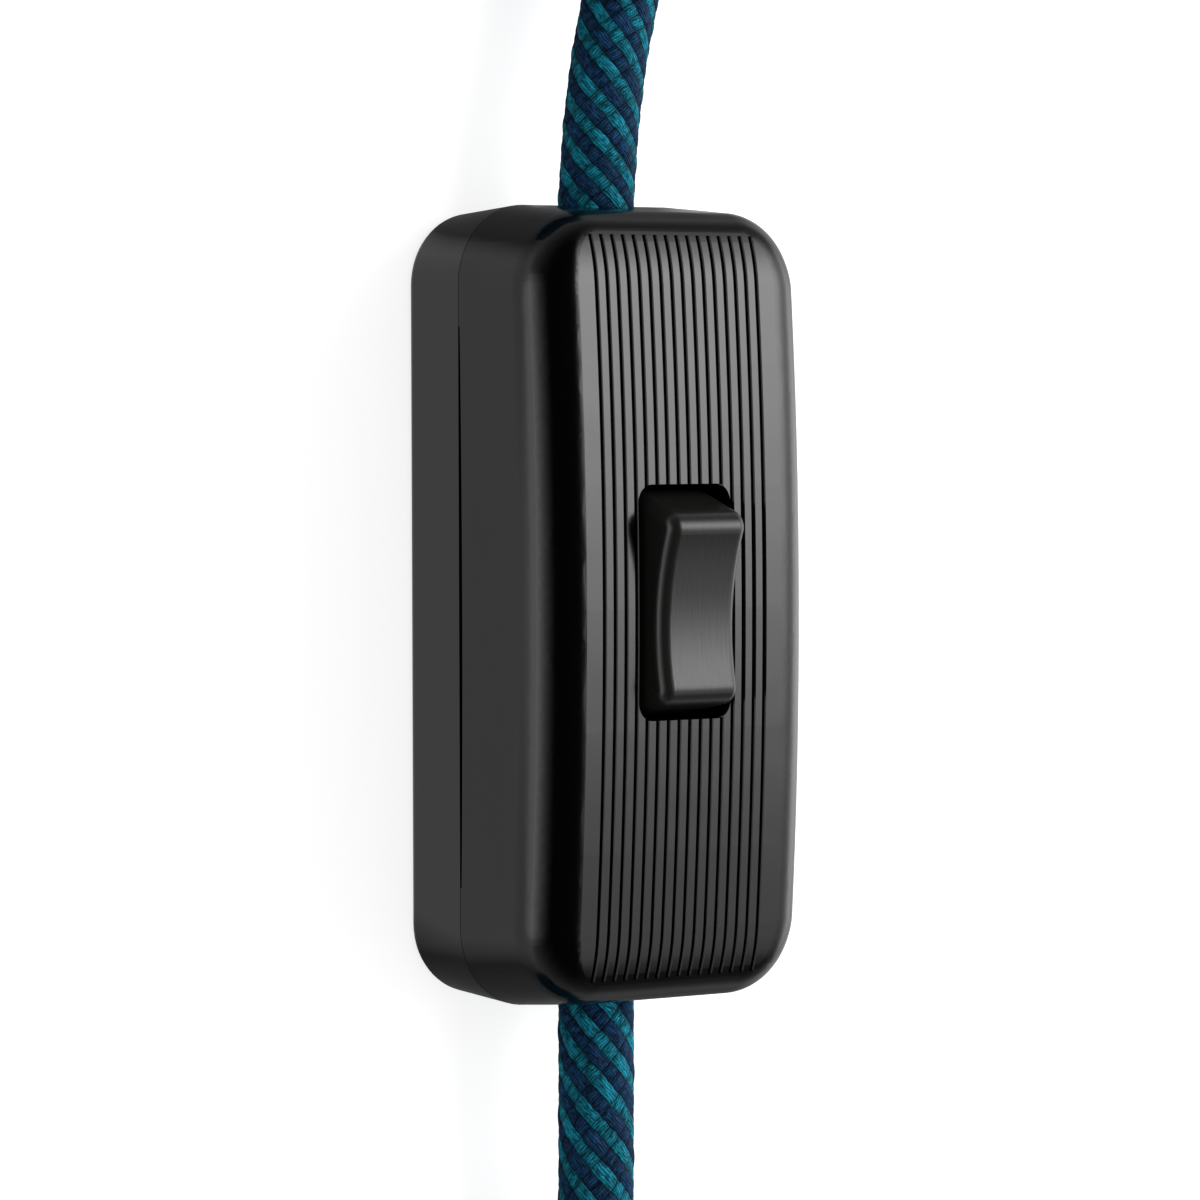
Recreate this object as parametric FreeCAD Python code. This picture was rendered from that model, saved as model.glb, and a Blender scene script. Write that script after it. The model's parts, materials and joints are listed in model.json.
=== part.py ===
"""Inline rocker switch on a round textile cord, lying on its back.

The origin is the centre of the flat back. +Z comes out of the ribbed face, +Y runs along the cord
towards the lamp and +X is the width. All sizes are in millimetres.
"""
import math
import os

import FreeCAD
import Part
from FreeCAD import Vector

# Case
case_length = 73.0
case_width = 30.9
case_height = 22.5
seam_height = 9.0
corner_radius = 7.3
back_taper = 0.7
back_edge_round = 1.2
wall = 1.8
front_taper = 1.1
crown_sag = 1.4
crown_end_gap = 3.5
crown_end_radius = 16.0
side_edge_round = 4.3
end_edge_round = 3.0
least_inner_round = 0.6
seam_gap_ends = 0.08
seam_gap_step = 0.24
seam_gap_middle = 0.48
seam_closed_length = 11.1
face_strip_length = 11.0
lip_height = 1.2
lip_thickness = 0.8
lip_clearance = 0.1

# Ribs on the face
groove_count = 16
groove_pitch = 1.22
groove_width = 0.5
groove_floor_width = 0.06
groove_depth = 0.34
groove_end_gap = 2.9

# Rocker and its well
well_width = 10.5
well_length = 21.3
well_centre = 0.5
well_corner = 1.6
well_wall = 1.1
collar_depth = 7.2
rocker_width = 8.7
rocker_end_radius = 10.3
rocker_pivot_height = 17.7
rocker_face_half_length = 8.35
rocker_dip_height = 6.9
rocker_saddle_radius = 24.0
rocker_skirt_height = 1.6
rocker_edge_round = 1.1
rocker_end_round = 1.6
rocker_tilt = 4.5
rocker_hub_diameter = 4.4
hub_side_clearance = 0.17
pin_diameter = 1.8
pin_clearance = 0.04
pin_end_gap = 0.1
stem_width = 5.0
stem_length = 5.2
stem_bottom = 5.1
stem_flare = 1.0

# Snap mechanism
plunger_diameter = 2.5
plunger_bore_clearance = 0.06
plunger_bore_roof = 0.6
plunger_length = 3.7
plunger_reach = 7.25
spring_wire = 0.32
spring_turns = 4
spring_clearance = 0.1
blade_length = 13.2
blade_width = 4.6
blade_thickness = 0.8
blade_tilt = 6.0
blade_pivot_height = 9.3
blade_pivot_radius = 0.6
blade_seat_clearance = 0.06
blade_lift = 0.1
blade_corner = 0.8
contact_offset = 5.2
contact_diameter = 2.6
contact_height = 0.5
contact_closing_gap = 0.25
contact_foot_width = 3.4
contact_foot_length = 3.0
stop_thickness = 1.6
stop_gap = 0.2

# Contact carrier and terminals
carrier_width = 21.0
carrier_end_gap = 17.0
carrier_thickness = 2.2
carrier_fit = 0.1
carrier_corner = 2.0
strip_thickness = 0.8
strip_width = 2.4
clamp_width = 5.0
clamp_length = 6.0
clamp_height = 5.9
clamp_offset_x = 6.5
clamp_edge_margin = 6.0
clamp_bore = 2.4
clamp_bore_floor = 1.0
clamp_edge_round = 0.4
terminal_screw_diameter = 2.6
terminal_screw_head = 4.2
terminal_screw_head_height = 1.5
terminal_screw_end_gap = 0.05
barrier_thickness = 1.0
barrier_height = 6.6
fulcrum_width = 4.4
fulcrum_length = 2.4
fulcrum_drop = 0.3
peg_diameter = 2.2
peg_offset = 9.0

# Cord, cores and cord grips
cord_diameter = 7.0
cord_hole_clearance = 0.1
jacket_end_gap = 9.0
core_diameter = 2.2
core_spread = 1.3
core_run_at_jacket = 3.2
core_run_at_clamp = 3.6
core_end_gap = 0.1
jacket_gap = 0.05
copper_diameter = 1.5
copper_in_core = 0.5
copper_in_clamp = 4.0
grip_end_gap = 5.5
grip_width = 4.0
grip_half_span = 9.2
grip_ear_thickness = 2.3
grip_arch_thickness = 1.8
grip_clearance = 0.03
grip_screw_offset = 6.9
grip_screw_diameter = 2.2
grip_screw_head = 4.0
grip_screw_head_height = 1.6
grip_screw_end = 2.8
grip_boss_diameter = 4.6
grip_boss_gap = 0.2

# Case screws, set on one diagonal
case_screw_x = 9.5
case_screw_end_gap = 11.3
case_screw_diameter = 2.8
case_screw_head = 5.0
case_screw_head_height = 1.8
case_screw_length = 13.5
case_boss_diameter = 6.4
counterbore_depth = 3.2
screw_clearance = 0.06
head_clearance = 0.3
slot_width = 0.7
slot_depth = 0.7
screw_rim_round = 0.3

# Put-away hanks of the two leads
hank_round = 2.6
lower_hank_x = -16.0
lower_hank_near = -95.0
lower_hank_run = 42.0
lower_hank_inner = 21.0
upper_hank_x = -12.0
upper_hank_near = 84.0
upper_hank_run = 24.0
upper_hank_inner = 21.0
hank_clearance = 0.15
third_layer_shift = -3.5
tie_width = 9.0
tie_thickness = 0.5
lamp_tie_share = 0.6
mains_tie_share = 0.4

# Plug
plug_x = -1.8
plug_front = -163.5
plug_width = 35.3
plug_thickness = 13.7
plug_length = 25.0
plug_shoulder_share = 0.72
plug_back_width = 15.0
plug_back_thickness = 11.5
plug_corner = 4.5
plug_waist = 11.0
plug_rest_gap = 0.2
relief_length = 20.0
relief_large = 10.4
relief_small = 8.6
relief_neck = 8.0
relief_groove = 1.1
relief_groove_count = 5
plug_pin_diameter = 4.0
plug_pin_length = 19.0
plug_pin_spacing = 18.6
plug_pin_tip_round = 1.4
plug_sleeve_diameter = 3.5
plug_sleeve_length = 10.0

# Bare end of the lamp lead
bare_core_spread = 1.25
bare_copper_length = 7.0

# Values that follow from the sizes above
cord_height = seam_height
crown_reach = case_length / 2 - crown_end_gap
end_arc_start = case_length / 2 - corner_radius
groove_reach = case_length / 2 - groove_end_gap
carrier_length = case_length - 2 * carrier_end_gap
clamp_offset_y = carrier_length / 2 - clamp_edge_margin
jacket_end = case_length / 2 - jacket_end_gap
grip_offset = case_length / 2 - grip_end_gap
case_screw_y = case_length / 2 - case_screw_end_gap
cord_radius = cord_diameter / 2
crown_radius = crown_reach**2 / 2 / crown_sag + crown_sag / 2
crown_centre_z = case_height - crown_radius
cord_hole_radius = cord_radius + cord_hole_clearance
carrier_top = wall + carrier_thickness
clamp_top = carrier_top + clamp_height
stem_floor_z = rocker_pivot_height - stem_bottom
plunger_tip_z = rocker_pivot_height - plunger_reach
hank_layer = cord_diameter

# Routes of the free stretches, chosen by hand
upper_route = [
    (0.0, jacket_end, cord_height),
    (0.0, 44.0, cord_height),
    (6.6, 65.0, 7.8),
    (9.6, 79.0, 4.4),
    (9.0, 92.0, 3.6),
]
lower_route = [
    (0.0, -jacket_end, cord_height),
    (0.0, -45.0, cord_height),
    (3.2, -62.0, 7.4),
    (9.6, -76.0, 4.3),
    (12.0, -90.0, 3.6),
]
tail_route = [
    (1.4, -91.0, 17.5),
    (1.4, -100.5, 18.2),
    (-1.3, -110.5, 20.4),
    (-1.8, -119.5, 21.05),
]
bare_route = [
    (-33.0, 103.9, 17.3),
    (-33.0, 98.5, 16.9),
    (-33.0, 92.5, 15.2),
    (-33.0, 86.0, 15.1),
]

X_AXIS = Vector(1, 0, 0)
Y_AXIS = Vector(0, 1, 0)

nodes = {}


def box(x0, x1, y0, y1, z0, z1):
    """A block between two corners."""
    return Part.makeBox(x1 - x0, y1 - y0, z1 - z0, Vector(x0, y0, z0))


def centred(x, y, width, length, z0, z1):
    """A block centred on x and y."""
    return box(x - width / 2, x + width / 2, y - length / 2, y + length / 2, z0, z1)


def post(diameter, x, y, z0, z1):
    """An upright cylinder."""
    return Part.makeCylinder(diameter / 2, z1 - z0, Vector(x, y, z0))


def rod(diameter, start, end):
    """A cylinder between two points."""
    a = Vector(*start)
    b = Vector(*end)
    return Part.makeCylinder(diameter / 2, (b - a).Length, a, b - a)


def fused(shapes):
    """One shape from several that touch."""
    first, *rest = shapes
    return first.fuse(rest).removeSplitter() if rest else first


def outline(width, length, radius, z, x=0.0, y=0.0):
    """A rounded rectangle as a flat wire."""
    a = width / 2
    b = length / 2
    inner = radius * (1 - math.sqrt(0.5))
    edges = []
    corners = [(1, 1), (-1, 1), (-1, -1), (1, -1)]
    arcs = []
    for sx, sy in corners:
        on_side = Vector(x + sx * a, y + sy * (b - radius), z)
        on_end = Vector(x + sx * (a - radius), y + sy * b, z)
        middle = Vector(x + sx * (a - inner), y + sy * (b - inner), z)
        ends = (on_side, on_end) if sx == sy else (on_end, on_side)
        arcs.append((ends[0], middle, ends[1]))
    for k, (start, middle, end) in enumerate(arcs):
        edges.append(Part.Arc(start, middle, end).toShape())
        following = arcs[(k + 1) % len(arcs)][0]
        if (following - end).Length > 1e-6:
            edges.append(Part.makeLine(end, following))
    return Part.Wire(edges)


def slab(width, length, radius, z0, z1, x=0.0, y=0.0):
    """A rounded rectangle with thickness."""
    return Part.Face(outline(width, length, radius, z0, x, y)).extrude(Vector(0, 0, z1 - z0))


def crown_z(y, inset=0.0):
    """Height of the crowned face between its two end arcs, or of a face inside it."""
    return crown_centre_z + math.sqrt((crown_radius - inset) ** 2 - y * y)


def end_arc_point(side, turn, less):
    """A point of the tighter arc at one end of the face, its angle measured from upright."""
    start = math.asin(end_arc_start / crown_radius)
    y = (crown_radius - crown_end_radius) * math.sin(start)
    z = crown_centre_z + (crown_radius - crown_end_radius) * math.cos(start)
    radius = crown_end_radius - less
    return Vector(0, side * (y + radius * math.sin(turn)), z + radius * math.cos(turn))


def crown_line(less, last_turn):
    """The face's long profile: one flat arc, and a tighter arc tangent to it at each end."""
    start = math.asin(end_arc_start / crown_radius)
    edges = []
    for side in (-1, 1):
        turns = [start, (start + last_turn) / 2, last_turn]
        points = [end_arc_point(side, turn, less) for turn in turns]
        if side < 0:
            points.reverse()
        edges.append(Part.Arc(*points).toShape())
    middle = Vector(0, 0, crown_z(0, less))
    flat = Part.Arc(end_arc_point(-1, start, less), middle, end_arc_point(1, start, less))
    return [edges[0], flat.toShape(), edges[1]]


def under_crown(inset, z0):
    """Everything below the crowned face, over the whole width."""
    last_turn = math.radians(60)
    a = end_arc_point(1, last_turn, inset)
    d = end_arc_point(-1, last_turn, inset)
    b = Vector(0, a.y, z0)
    c = Vector(0, d.y, z0)
    sides = [Part.makeLine(a, b), Part.makeLine(b, c), Part.makeLine(c, d)]
    profile = Part.Wire(crown_line(inset, last_turn) + sides)
    solid = Part.Face(profile).extrude(Vector(2 * case_width, 0, 0))
    solid.translate(Vector(-case_width, 0, 0))
    return solid


def crowned_block(inset, z0, side_round, end_round):
    """The front half of the case, solid, with its soft top edge."""
    width = case_width - 2 * inset
    wires = []
    for z in (z0, case_height + 0.1):
        lean = front_taper * (z - seam_height) / (case_height - seam_height)
        wires.append(outline(width, case_length - 2 * (inset + lean), corner_radius - inset, z))
    prism = Part.makeLoft(wires, True, True)
    block = prism.common(under_crown(inset, z0 - 1)).Solids[0]
    document = FreeCAD.newDocument("crown")
    base = document.addObject("Part::Feature", "base")
    base.Shape = block
    softened = document.addObject("Part::Fillet", "softened")
    softened.Base = base
    rows = []
    for number, edge in enumerate(block.Edges, 1):
        reach = edge.BoundBox
        if reach.ZMin < (seam_height + case_height) / 2:
            continue
        if reach.XLength < 0.1:
            rows.append((number, side_round, side_round))
        elif reach.YLength < 0.1:
            rows.append((number, end_round, end_round))
        else:
            starts_at_end = abs(edge.Vertexes[0].Point.y) > abs(edge.Vertexes[-1].Point.y)
            radii = (end_round, side_round) if starts_at_end else (side_round, end_round)
            rows.append((number, *radii))
    softened.Edges = rows
    document.recompute()
    shape = softened.Shape.copy()
    FreeCAD.closeDocument(document.Name)
    return shape.Solids[0]


def groove_section(x):
    """One groove's section at the middle of the face: sloping sides and a narrow floor."""
    half = groove_width / 2
    floor_half = groove_floor_width / 2
    floor = case_height - groove_depth
    corners = [
        Vector(x - half, 0, case_height + 0.3),
        Vector(x + half, 0, case_height + 0.3),
        Vector(x + half, 0, case_height),
        Vector(x + floor_half, 0, floor),
        Vector(x - floor_half, 0, floor),
        Vector(x - half, 0, case_height),
    ]
    return Part.Face(Part.makePolygon(corners + corners[:1]))


def groove_cutters():
    """The long fine grooves, turned about the axes of the face's arcs so that their depth is even."""
    start = math.asin(end_arc_start / crown_radius)
    start_degrees = math.degrees(start)
    axis_point = Vector(0, 0, crown_centre_z)
    beyond = groove_reach - (crown_radius - crown_end_radius) * math.sin(start)
    end_turn = math.degrees(math.asin(beyond / crown_end_radius)) - start_degrees
    cutters = []
    for k in range(groove_count):
        section = groove_section((k - (groove_count - 1) / 2) * groove_pitch)
        pieces = []
        for side in (-1, 1):
            at_end = section.copy()
            at_end.rotate(axis_point, X_AXIS, -side * start_degrees)
            end_centre = end_arc_point(side, 0.0, crown_end_radius)
            pieces.append(at_end.revolve(end_centre, X_AXIS, -side * end_turn))
        at_start = section.copy()
        at_start.rotate(axis_point, X_AXIS, -start_degrees)
        cutters.append(at_start.revolve(axis_point, X_AXIS, 2 * start_degrees).fuse(pieces))
    return cutters


def seam_arch():
    """The room under the front half: closed at both ends, and an open arch from a step inwards."""
    reach = case_length / 2 + 1
    open_reach = case_length / 2 - seam_closed_length
    low = seam_height + seam_gap_ends
    step = seam_height + seam_gap_step
    arch = Part.Arc(
        Vector(0, -open_reach, step),
        Vector(0, 0, seam_height + seam_gap_middle),
        Vector(0, open_reach, step),
    )
    corners = [
        Vector(0, open_reach, step),
        Vector(0, open_reach, low),
        Vector(0, reach, low),
        Vector(0, reach, low - 2),
        Vector(0, -reach, low - 2),
        Vector(0, -reach, low),
        Vector(0, -open_reach, low),
        Vector(0, -open_reach, step),
    ]
    wire = Part.Wire([arch.toShape(), *Part.makePolygon(corners).Edges])
    cutter = Part.Face(wire).extrude(Vector(2 * case_width, 0, 0))
    cutter.translate(Vector(-case_width, 0, 0))
    return cutter


def in_short_lengths(shape):
    """The same solid with its long faces divided across, so that no face is very long and thin."""
    count = math.ceil(case_length / 2 / face_strip_length)
    lengths = []
    for k in range(-count, count):
        y = k * face_strip_length
        part = box(-case_width, case_width, y, y + face_strip_length, 0, 2 * case_height)
        lengths.append(shape.common(part))
    first, *rest = lengths
    return first.fuse(rest)


def case_screw_places():
    """The two corners that hold a case screw."""
    return [(-case_screw_x, case_screw_y), (case_screw_x, -case_screw_y)]


def cord_holes():
    """The round hole for the cord through both end walls."""
    inside = case_length / 2 - 2 * wall
    outside = case_length / 2 + 1
    diameter = 2 * cord_hole_radius
    return [
        rod(diameter, (0, side * inside, cord_height), (0, side * outside, cord_height))
        for side in (-1, 1)
    ]


def make_front_cover():
    """Ribbed upper half of the case, with the rocker well and the screw bosses inside."""
    body = crowned_block(0.0, seam_height, side_edge_round, end_edge_round)
    inner_round = side_edge_round - wall
    inner_end = max(end_edge_round - wall, least_inner_round)
    cavity = crowned_block(wall, seam_height - 1, inner_round, inner_end)
    rabbet_inset = wall - lip_thickness - lip_clearance / 2
    rabbet = slab(
        case_width - 2 * rabbet_inset,
        case_length - 2 * rabbet_inset,
        corner_radius - rabbet_inset,
        seam_height - 1,
        seam_height + lip_height + lip_clearance,
    )
    shell = body.cut([cavity, rabbet])
    ceiling = crown_z(0, wall / 2)
    collar_floor = case_height - collar_depth
    collar = slab(
        well_width + 2 * well_wall,
        well_length + 2 * well_wall,
        well_corner + well_wall,
        collar_floor,
        ceiling,
        0,
        well_centre,
    )
    bosses = [
        post(case_boss_diameter, x, y, seam_height + seam_gap_middle, crown_z(y, wall / 2))
        for x, y in case_screw_places()
    ]
    shell = shell.fuse([collar, *bosses]).removeSplitter()
    well = slab(well_width, well_length, well_corner, collar_floor - 1, case_height + 2, 0, well_centre)
    pilot_top = counterbore_depth + case_screw_length + screw_clearance
    pilots = [
        post(case_screw_diameter + 2 * screw_clearance, x, y, seam_height - 1, pilot_top)
        for x, y in case_screw_places()
    ]
    reach = well_width / 2 + well_wall + 1
    pin_hole = rod(
        pin_diameter,
        (-reach, well_centre, rocker_pivot_height),
        (reach, well_centre, rocker_pivot_height),
    )
    shell = shell.cut([well, pin_hole, seam_arch(), *pilots, *cord_holes(), *groove_cutters()])
    return in_short_lengths(shell)


def tapered_tray(inset, z0, z1, radius):
    """A rounded block that narrows towards the back."""
    def narrowing(z):
        return back_taper * (seam_height - z) / seam_height

    wires = []
    for z in (z0, z1):
        less = inset + narrowing(z)
        wires.append(outline(case_width - 2 * less, case_length - 2 * less, radius - less, z))
    return Part.makeLoft(wires, True, True)


def make_rear_cover():
    """Plain tray with the cord saddles, the grip bosses, the pegs and the screw bosses."""
    body = tapered_tray(0.0, 0.0, seam_height, corner_radius)
    back_edges = [e for e in body.Edges if e.BoundBox.ZMax < 0.01]
    body = body.makeFillet(back_edge_round, back_edges)
    cavity = tapered_tray(wall, wall, seam_height + 0.5, corner_radius)
    tray = body.cut(cavity)
    lip_outside = wall - lip_thickness + lip_clearance / 2
    lip_outer = slab(
        case_width - 2 * lip_outside,
        case_length - 2 * lip_outside,
        corner_radius - lip_outside,
        seam_height - 1,
        seam_height + lip_height,
    )
    lip_inner = slab(
        case_width - 2 * wall,
        case_length - 2 * wall,
        corner_radius - wall,
        seam_height - 2,
        seam_height + lip_height + 1,
    )
    parts = [lip_outer.cut(lip_inner)]
    parts += [post(case_boss_diameter, x, y, wall / 2, seam_height) for x, y in case_screw_places()]
    boss_top = seam_height - grip_boss_gap
    for side in (-1, 1):
        y = side * grip_offset
        parts += [
            post(grip_boss_diameter, sx * grip_screw_offset, y, wall / 2, boss_top) for sx in (-1, 1)
        ]
        saddle_top = cord_height - cord_radius / 2
        parts.append(centred(0, y, 2 * grip_screw_offset, grip_width, wall / 2, saddle_top))
        parts.append(post(peg_diameter, 0, side * peg_offset, wall / 2, carrier_top - carrier_fit))
    tray = tray.fuse(parts).removeSplitter()
    cuts = cord_holes()
    for side in (-1, 1):
        y = side * grip_offset
        bed = cord_radius + grip_clearance
        cuts.append(rod(2 * bed, (0, y - grip_width, cord_height), (0, y + grip_width, cord_height)))
        cuts += [
            post(grip_screw_diameter + 2 * screw_clearance, sx * grip_screw_offset, y, wall, seam_height)
            for sx in (-1, 1)
        ]
    for x, y in case_screw_places():
        cuts.append(post(case_screw_head + 2 * head_clearance, x, y, -1, counterbore_depth))
        cuts.append(post(case_screw_diameter + 2 * screw_clearance, x, y, 0, seam_height + 1))
    return tray.cut(cuts)


def tilted(shape, angle, y, z):
    """A shape turned about a crosswise axis."""
    turned = shape.copy()
    turned.rotate(Vector(0, y, z), X_AXIS, angle)
    return turned


def make_rocker():
    """Finger-saddled rocker with its hubs and its spring stem, in its rest position."""
    y0 = well_centre
    z0 = rocker_pivot_height
    reach = rocker_end_radius
    peak_y = rocker_face_half_length
    saddle_rise = rocker_saddle_radius - math.sqrt(rocker_saddle_radius**2 - peak_y**2)
    peak = rocker_dip_height + saddle_rise
    # A straight end wall runs from the peak down to where it touches the end arc.
    touch = math.atan2(peak, peak_y) - math.acos(reach / math.hypot(peak, peak_y))
    touch_y = reach * math.cos(touch)
    touch_z = reach * math.sin(touch)
    skirt_y = math.sqrt(reach**2 - rocker_skirt_height**2)

    def at(y, z):
        return Vector(0, y0 + y, z0 + z)

    middle_z = (touch_z + rocker_skirt_height) / 2
    middle_y = math.sqrt(reach**2 - middle_z**2)
    saddle = Part.Arc(at(-peak_y, peak), at(0, rocker_dip_height), at(peak_y, peak))
    right = Part.Arc(at(touch_y, touch_z), at(middle_y, middle_z), at(skirt_y, rocker_skirt_height))
    left = Part.Arc(at(-skirt_y, rocker_skirt_height), at(-middle_y, middle_z), at(-touch_y, touch_z))
    hub = rocker_hub_diameter / 2
    stem = stem_length / 2
    under = [
        at(skirt_y, rocker_skirt_height),
        at(hub + stem_flare, rocker_skirt_height),
        at(stem, -stem_bottom),
        at(-stem, -stem_bottom),
        at(-hub - stem_flare, rocker_skirt_height),
        at(-skirt_y, rocker_skirt_height),
    ]
    edges = [saddle.toShape(), Part.makeLine(at(peak_y, peak), at(touch_y, touch_z)), right.toShape()]
    edges += [Part.makeLine(a, b) for a, b in zip(under, under[1:])]
    edges += [left.toShape(), Part.makeLine(at(-touch_y, touch_z), at(-peak_y, peak))]
    face = Part.Face(Part.Wire(edges))
    body = face.extrude(Vector(rocker_width, 0, 0))
    body.translate(Vector(-rocker_width / 2, 0, 0))
    across = [e for e in body.Edges if e.BoundBox.XLength > 1 and e.BoundBox.ZMin > z0 + peak - 0.1]
    body = body.makeFillet(rocker_end_round, across)
    skirt_z = z0 + rocker_skirt_height + 0.5
    along = [e for e in body.Edges if e.BoundBox.XLength < 0.01 and e.BoundBox.ZMax > skirt_z]
    body = body.makeFillet(rocker_edge_round, along)
    stem_cheek = (rocker_width - stem_width) / 2
    side = rocker_width / 2
    low = z0 - stem_bottom - 1
    cheeks = [
        box(sx * side - stem_cheek, sx * side + stem_cheek, y0 - reach, y0 + reach, low, z0 - hub)
        for sx in (-1, 1)
    ]
    body = body.cut(cheeks)
    hub_reach = well_width / 2 - hub_side_clearance
    body = body.fuse(rod(rocker_hub_diameter, (-hub_reach, y0, z0), (hub_reach, y0, z0)))
    bore = rod(pin_diameter + 2 * pin_clearance, (-hub_reach - 1, y0, z0), (hub_reach + 1, y0, z0))
    bore_radius = plunger_diameter / 2 + plunger_bore_clearance
    socket = Part.makeCylinder(
        bore_radius, spring_roof_z() - stem_floor_z + 1, Vector(0, y0, stem_floor_z - 1)
    )
    body = body.removeSplitter().cut([bore, socket])
    return tilted(body, rocker_tilt, y0, z0)


def spring_roof_z():
    """Top of the spring's socket, just under the pin."""
    return rocker_pivot_height - pin_diameter / 2 - pin_clearance - plunger_bore_roof


def make_plunger():
    """Round-nosed plunger that the spring pushes on the blade."""
    radius = plunger_diameter / 2
    y0 = well_centre
    nose = Part.makeSphere(radius, Vector(0, y0, plunger_tip_z + radius))
    barrel = post(plunger_diameter, 0, y0, plunger_tip_z + radius, plunger_tip_z + plunger_length)
    return tilted(fused([barrel, nose]), rocker_tilt, y0, rocker_pivot_height)


def make_spring():
    """Small compression spring between the socket's roof and the plunger."""
    low = plunger_tip_z + plunger_length + spring_wire / 2 + spring_clearance / 2
    high = spring_roof_z() - spring_wire / 2 - spring_clearance / 2
    radius = plunger_diameter / 2 - spring_wire / 2 - spring_clearance
    height = high - low
    helix = Part.makeHelix(height / spring_turns, height, radius)
    profile = Part.Wire(Part.makeCircle(spring_wire / 2, Vector(radius, 0, 0), Y_AXIS))
    coil = Part.Wire(helix).makePipeShell([profile], True, True)
    coil.translate(Vector(0, well_centre, low))
    return tilted(coil, rocker_tilt, well_centre, rocker_pivot_height)


def make_pin():
    """Steel pin through the walls of the well."""
    reach = well_width / 2 + well_wall - pin_end_gap
    y0 = well_centre
    return rod(pin_diameter, (-reach, y0, rocker_pivot_height), (reach, y0, rocker_pivot_height))


def make_blade():
    """See-saw contact blade with its ridge and its contact, in its rest position."""
    y0 = well_centre
    z0 = blade_pivot_height
    low = z0 + blade_lift
    strip = slab(blade_width, blade_length, blade_corner, low, low + blade_thickness, 0, y0)
    ridge = rod(2 * blade_pivot_radius, (-blade_width / 2, y0, z0), (blade_width / 2, y0, z0))
    button = post(contact_diameter, 0, y0 - contact_offset, low - contact_height, low)
    return tilted(fused([strip, ridge, button]), -blade_tilt, y0, z0)


def closed_contact_z():
    """Height of the moving contact's face when the switch is on."""
    angle = math.radians(blade_tilt)
    face = blade_lift - contact_height
    return blade_pivot_height - contact_offset * math.sin(angle) + face * math.cos(angle)


def clamp_block(x, y):
    """Brass clamp with a bore along the cord and a screw hole from above."""
    block = centred(x, y, clamp_width, clamp_length, carrier_top, clamp_top)
    wide = [e for e in block.Edges if e.BoundBox.ZLength > 1]
    block = block.makeFillet(clamp_edge_round, wide)
    bore_z = core_height()
    bore = rod(clamp_bore, (x, y - clamp_length, bore_z), (x, y + clamp_length, bore_z))
    screw = post(terminal_screw_diameter + 2 * screw_clearance, x, y, bore_z, clamp_top + 1)
    return block.cut([bore, screw])


def core_height():
    """Height of the bores that take the cores."""
    return carrier_top + clamp_bore / 2 + clamp_bore_floor


def make_lamp_terminal():
    """Terminal of the lamp's live core, with the fulcrum of the blade."""
    y0 = well_centre
    fulcrum_top = blade_pivot_height - fulcrum_drop
    fulcrum = centred(0, y0, fulcrum_width, fulcrum_length, carrier_top, fulcrum_top)
    seat_radius = blade_pivot_radius + blade_seat_clearance
    seat = rod(
        2 * seat_radius,
        (-fulcrum_width, y0, blade_pivot_height),
        (fulcrum_width, y0, blade_pivot_height),
    )
    strip_top = carrier_top + strip_thickness
    inside = clamp_offset_x - strip_width / 2
    outside = clamp_offset_x + strip_width / 2
    cross = box(0, outside, y0 - fulcrum_length / 2, y0 + fulcrum_length / 2, carrier_top, strip_top)
    along = box(inside, outside, y0, clamp_offset_y, carrier_top, strip_top)
    solid = fused([fulcrum.cut(seat), cross, along, clamp_block(clamp_offset_x, clamp_offset_y)])
    bore_z = core_height()
    bore = rod(
        clamp_bore,
        (clamp_offset_x, clamp_offset_y - clamp_length, bore_z),
        (clamp_offset_x, clamp_offset_y + clamp_length, bore_z),
    )
    return solid.cut(bore)


def make_mains_terminal():
    """Terminal of the mains live core, with the fixed contact."""
    y = well_centre - contact_offset
    top = closed_contact_z() - contact_closing_gap
    foot_top = top - contact_height
    foot = centred(0, y, contact_foot_width, contact_foot_length, carrier_top, foot_top)
    button = post(contact_diameter, 0, y, foot_top, top)
    strip_top = carrier_top + strip_thickness
    inside = clamp_offset_x - strip_width / 2
    outside = clamp_offset_x + strip_width / 2
    cross = box(0, outside, y - strip_width / 2, y + strip_width / 2, carrier_top, strip_top)
    along = box(inside, outside, -clamp_offset_y, y, carrier_top, strip_top)
    return fused([foot, button, cross, along, clamp_block(clamp_offset_x, -clamp_offset_y)])


def make_neutral_connector():
    """Straight brass link that passes the neutral core through."""
    x = -clamp_offset_x
    strip_top = carrier_top + strip_thickness
    link = centred(x, 0, strip_width, 2 * clamp_offset_y, carrier_top, strip_top)
    return fused([link, clamp_block(x, clamp_offset_y), clamp_block(x, -clamp_offset_y)])


def slotted_screw(x, y, shank, shank_bottom, seat_z, head, head_height, upward=1):
    """Cheese-head screw with a straight slot. upward is 1 for a head on top and -1 for one below."""
    head_end = seat_z + upward * head_height
    head_low, head_high = sorted((seat_z, head_end))
    shank_low, shank_high = sorted((seat_z, shank_bottom))
    top = post(head, x, y, head_low, head_high)
    rim = [e for e in top.Edges if abs(e.BoundBox.ZMin - head_end) < 0.01 and e.BoundBox.ZLength < 0.01]
    top = top.makeFillet(screw_rim_round, rim)
    body = fused([top, post(shank, x, y, shank_low, shank_high)])
    slot_end = head_end - upward * slot_depth
    slot_low, slot_high = sorted((slot_end, head_end + upward))
    return body.cut(centred(x, y, 2 * head, slot_width, slot_low, slot_high))


def make_terminal_screws():
    """The four screws that clamp the cores."""
    bottom = core_height() + copper_diameter / 2 + terminal_screw_end_gap
    return [
        slotted_screw(
            sx * clamp_offset_x,
            sy * clamp_offset_y,
            terminal_screw_diameter,
            bottom,
            clamp_top,
            terminal_screw_head,
            terminal_screw_head_height,
        )
        for sx in (-1, 1)
        for sy in (-1, 1)
    ]


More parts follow.
